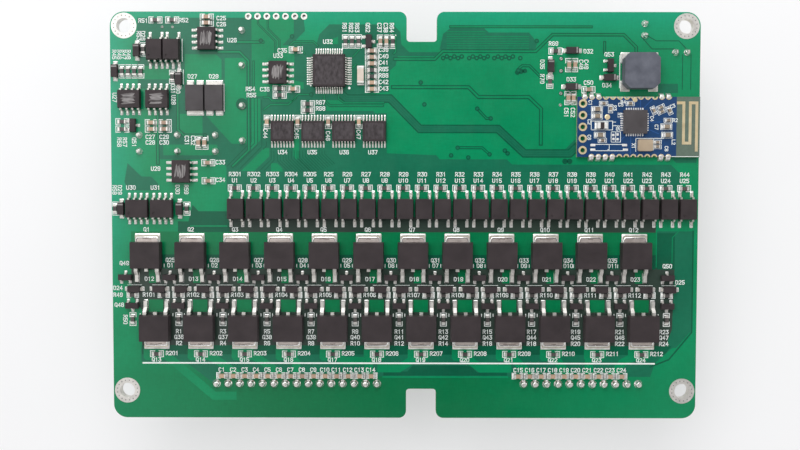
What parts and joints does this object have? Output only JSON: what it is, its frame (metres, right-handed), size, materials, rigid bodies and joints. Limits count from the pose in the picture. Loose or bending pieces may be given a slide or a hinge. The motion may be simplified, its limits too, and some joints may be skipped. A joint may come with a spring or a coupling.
{
  "type": "active balancer board",
  "caption": "Populated green circuit board that balances battery cells, with transistor rows, an optocoupler row, a radio module, corner mounting holes and wire headers underneath.",
  "frame": {"origin": "centre of the mounting-hole rectangle on the underside of the bare board", "axes": "+X along the long edge, +Y towards the edge beside the radio module, +Z out of the component side"},
  "size_m": [0.127, 0.0883, 0.0204],
  "materials": {
    "board_mask": "glossy green solder mask",
    "tin": "bright tin plate",
    "solder": "shiny solder",
    "black_epoxy": "matt moulded epoxy",
    "resistor_film": "glassy black film",
    "capacitor_ceramic": "satin brown ceramic",
    "buzzer_plastic": "matt slate plastic",
    "resonator_ceramic": "satin cream ceramic",
    "radio_mask": "glossy blue solder mask",
    "gold": "gold plate",
    "crystal_metal": "satin plated lid",
    "radio_part_ceramic": "satin ceramic",
    "header_nylon": "natural nylon",
    "can_aluminium": "drawn aluminium",
    "sleeve_film": "shrunk film",
    "seal_rubber": "moulded rubber"
  },
  "bodies": {
    "root": {"pcb": "board_mask", "mounting_lands": "tin", "spare_header_lands": "tin", "opto_leads": "tin", "fast_opto_leads": "tin", "upper_mosfet_tabs": "tin", "upper_mosfet_leads": "tin", "lower_mosfet_tabs": "tin", "lower_mosfet_leads": "tin", "transistor_leads": "tin", "diode_leads": "tin", "resistor_ends": "tin", "capacitor_ends": "tin", "soic_leads": "tin", "tssop_leads": "tin", "controller_leads": "tin", "rectifier_tabs": "tin", "buzzer_pads": "tin", "resonator_ends": "tin", "left_header_pins": "tin", "right_header_pins": "tin", "probe_header_pins": "tin", "storage_cap_leads": "tin", "filter_cap_leads": "tin", "radio_solder": "solder", "header_solder": "solder", "capacitor_solder": "solder", "opto_bodies": "black_epoxy", "fast_opto_bodies": "black_epoxy", "upper_mosfet_bodies": "black_epoxy", "lower_mosfet_bodies": "black_epoxy", "transistor_bodies": "black_epoxy", "diode_bodies": "black_epoxy", "soic_bodies": "black_epoxy", "tssop_bodies": "black_epoxy", "controller_body": "black_epoxy", "rectifier_bodies": "black_epoxy", "radio_chip": "black_epoxy", "resistor_bodies": "resistor_film", "capacitor_bodies": "capacitor_ceramic", "buzzer_case": "buzzer_plastic", "resonator_body": "resonator_ceramic", "radio_board": "radio_mask", "radio_lands": "gold", "radio_antenna": "gold", "radio_crystal_can": "crystal_metal", "radio_chip_parts": "radio_part_ceramic", "left_header_housing": "header_nylon", "right_header_housing": "header_nylon", "probe_header_housings": "header_nylon", "storage_cap_cans": "can_aluminium", "filter_cap_cans": "can_aluminium", "storage_cap_sleeves": "sleeve_film", "filter_cap_sleeves": "sleeve_film", "storage_cap_seals": "seal_rubber", "filter_cap_seals": "seal_rubber"}
  },
  "joints": []
}
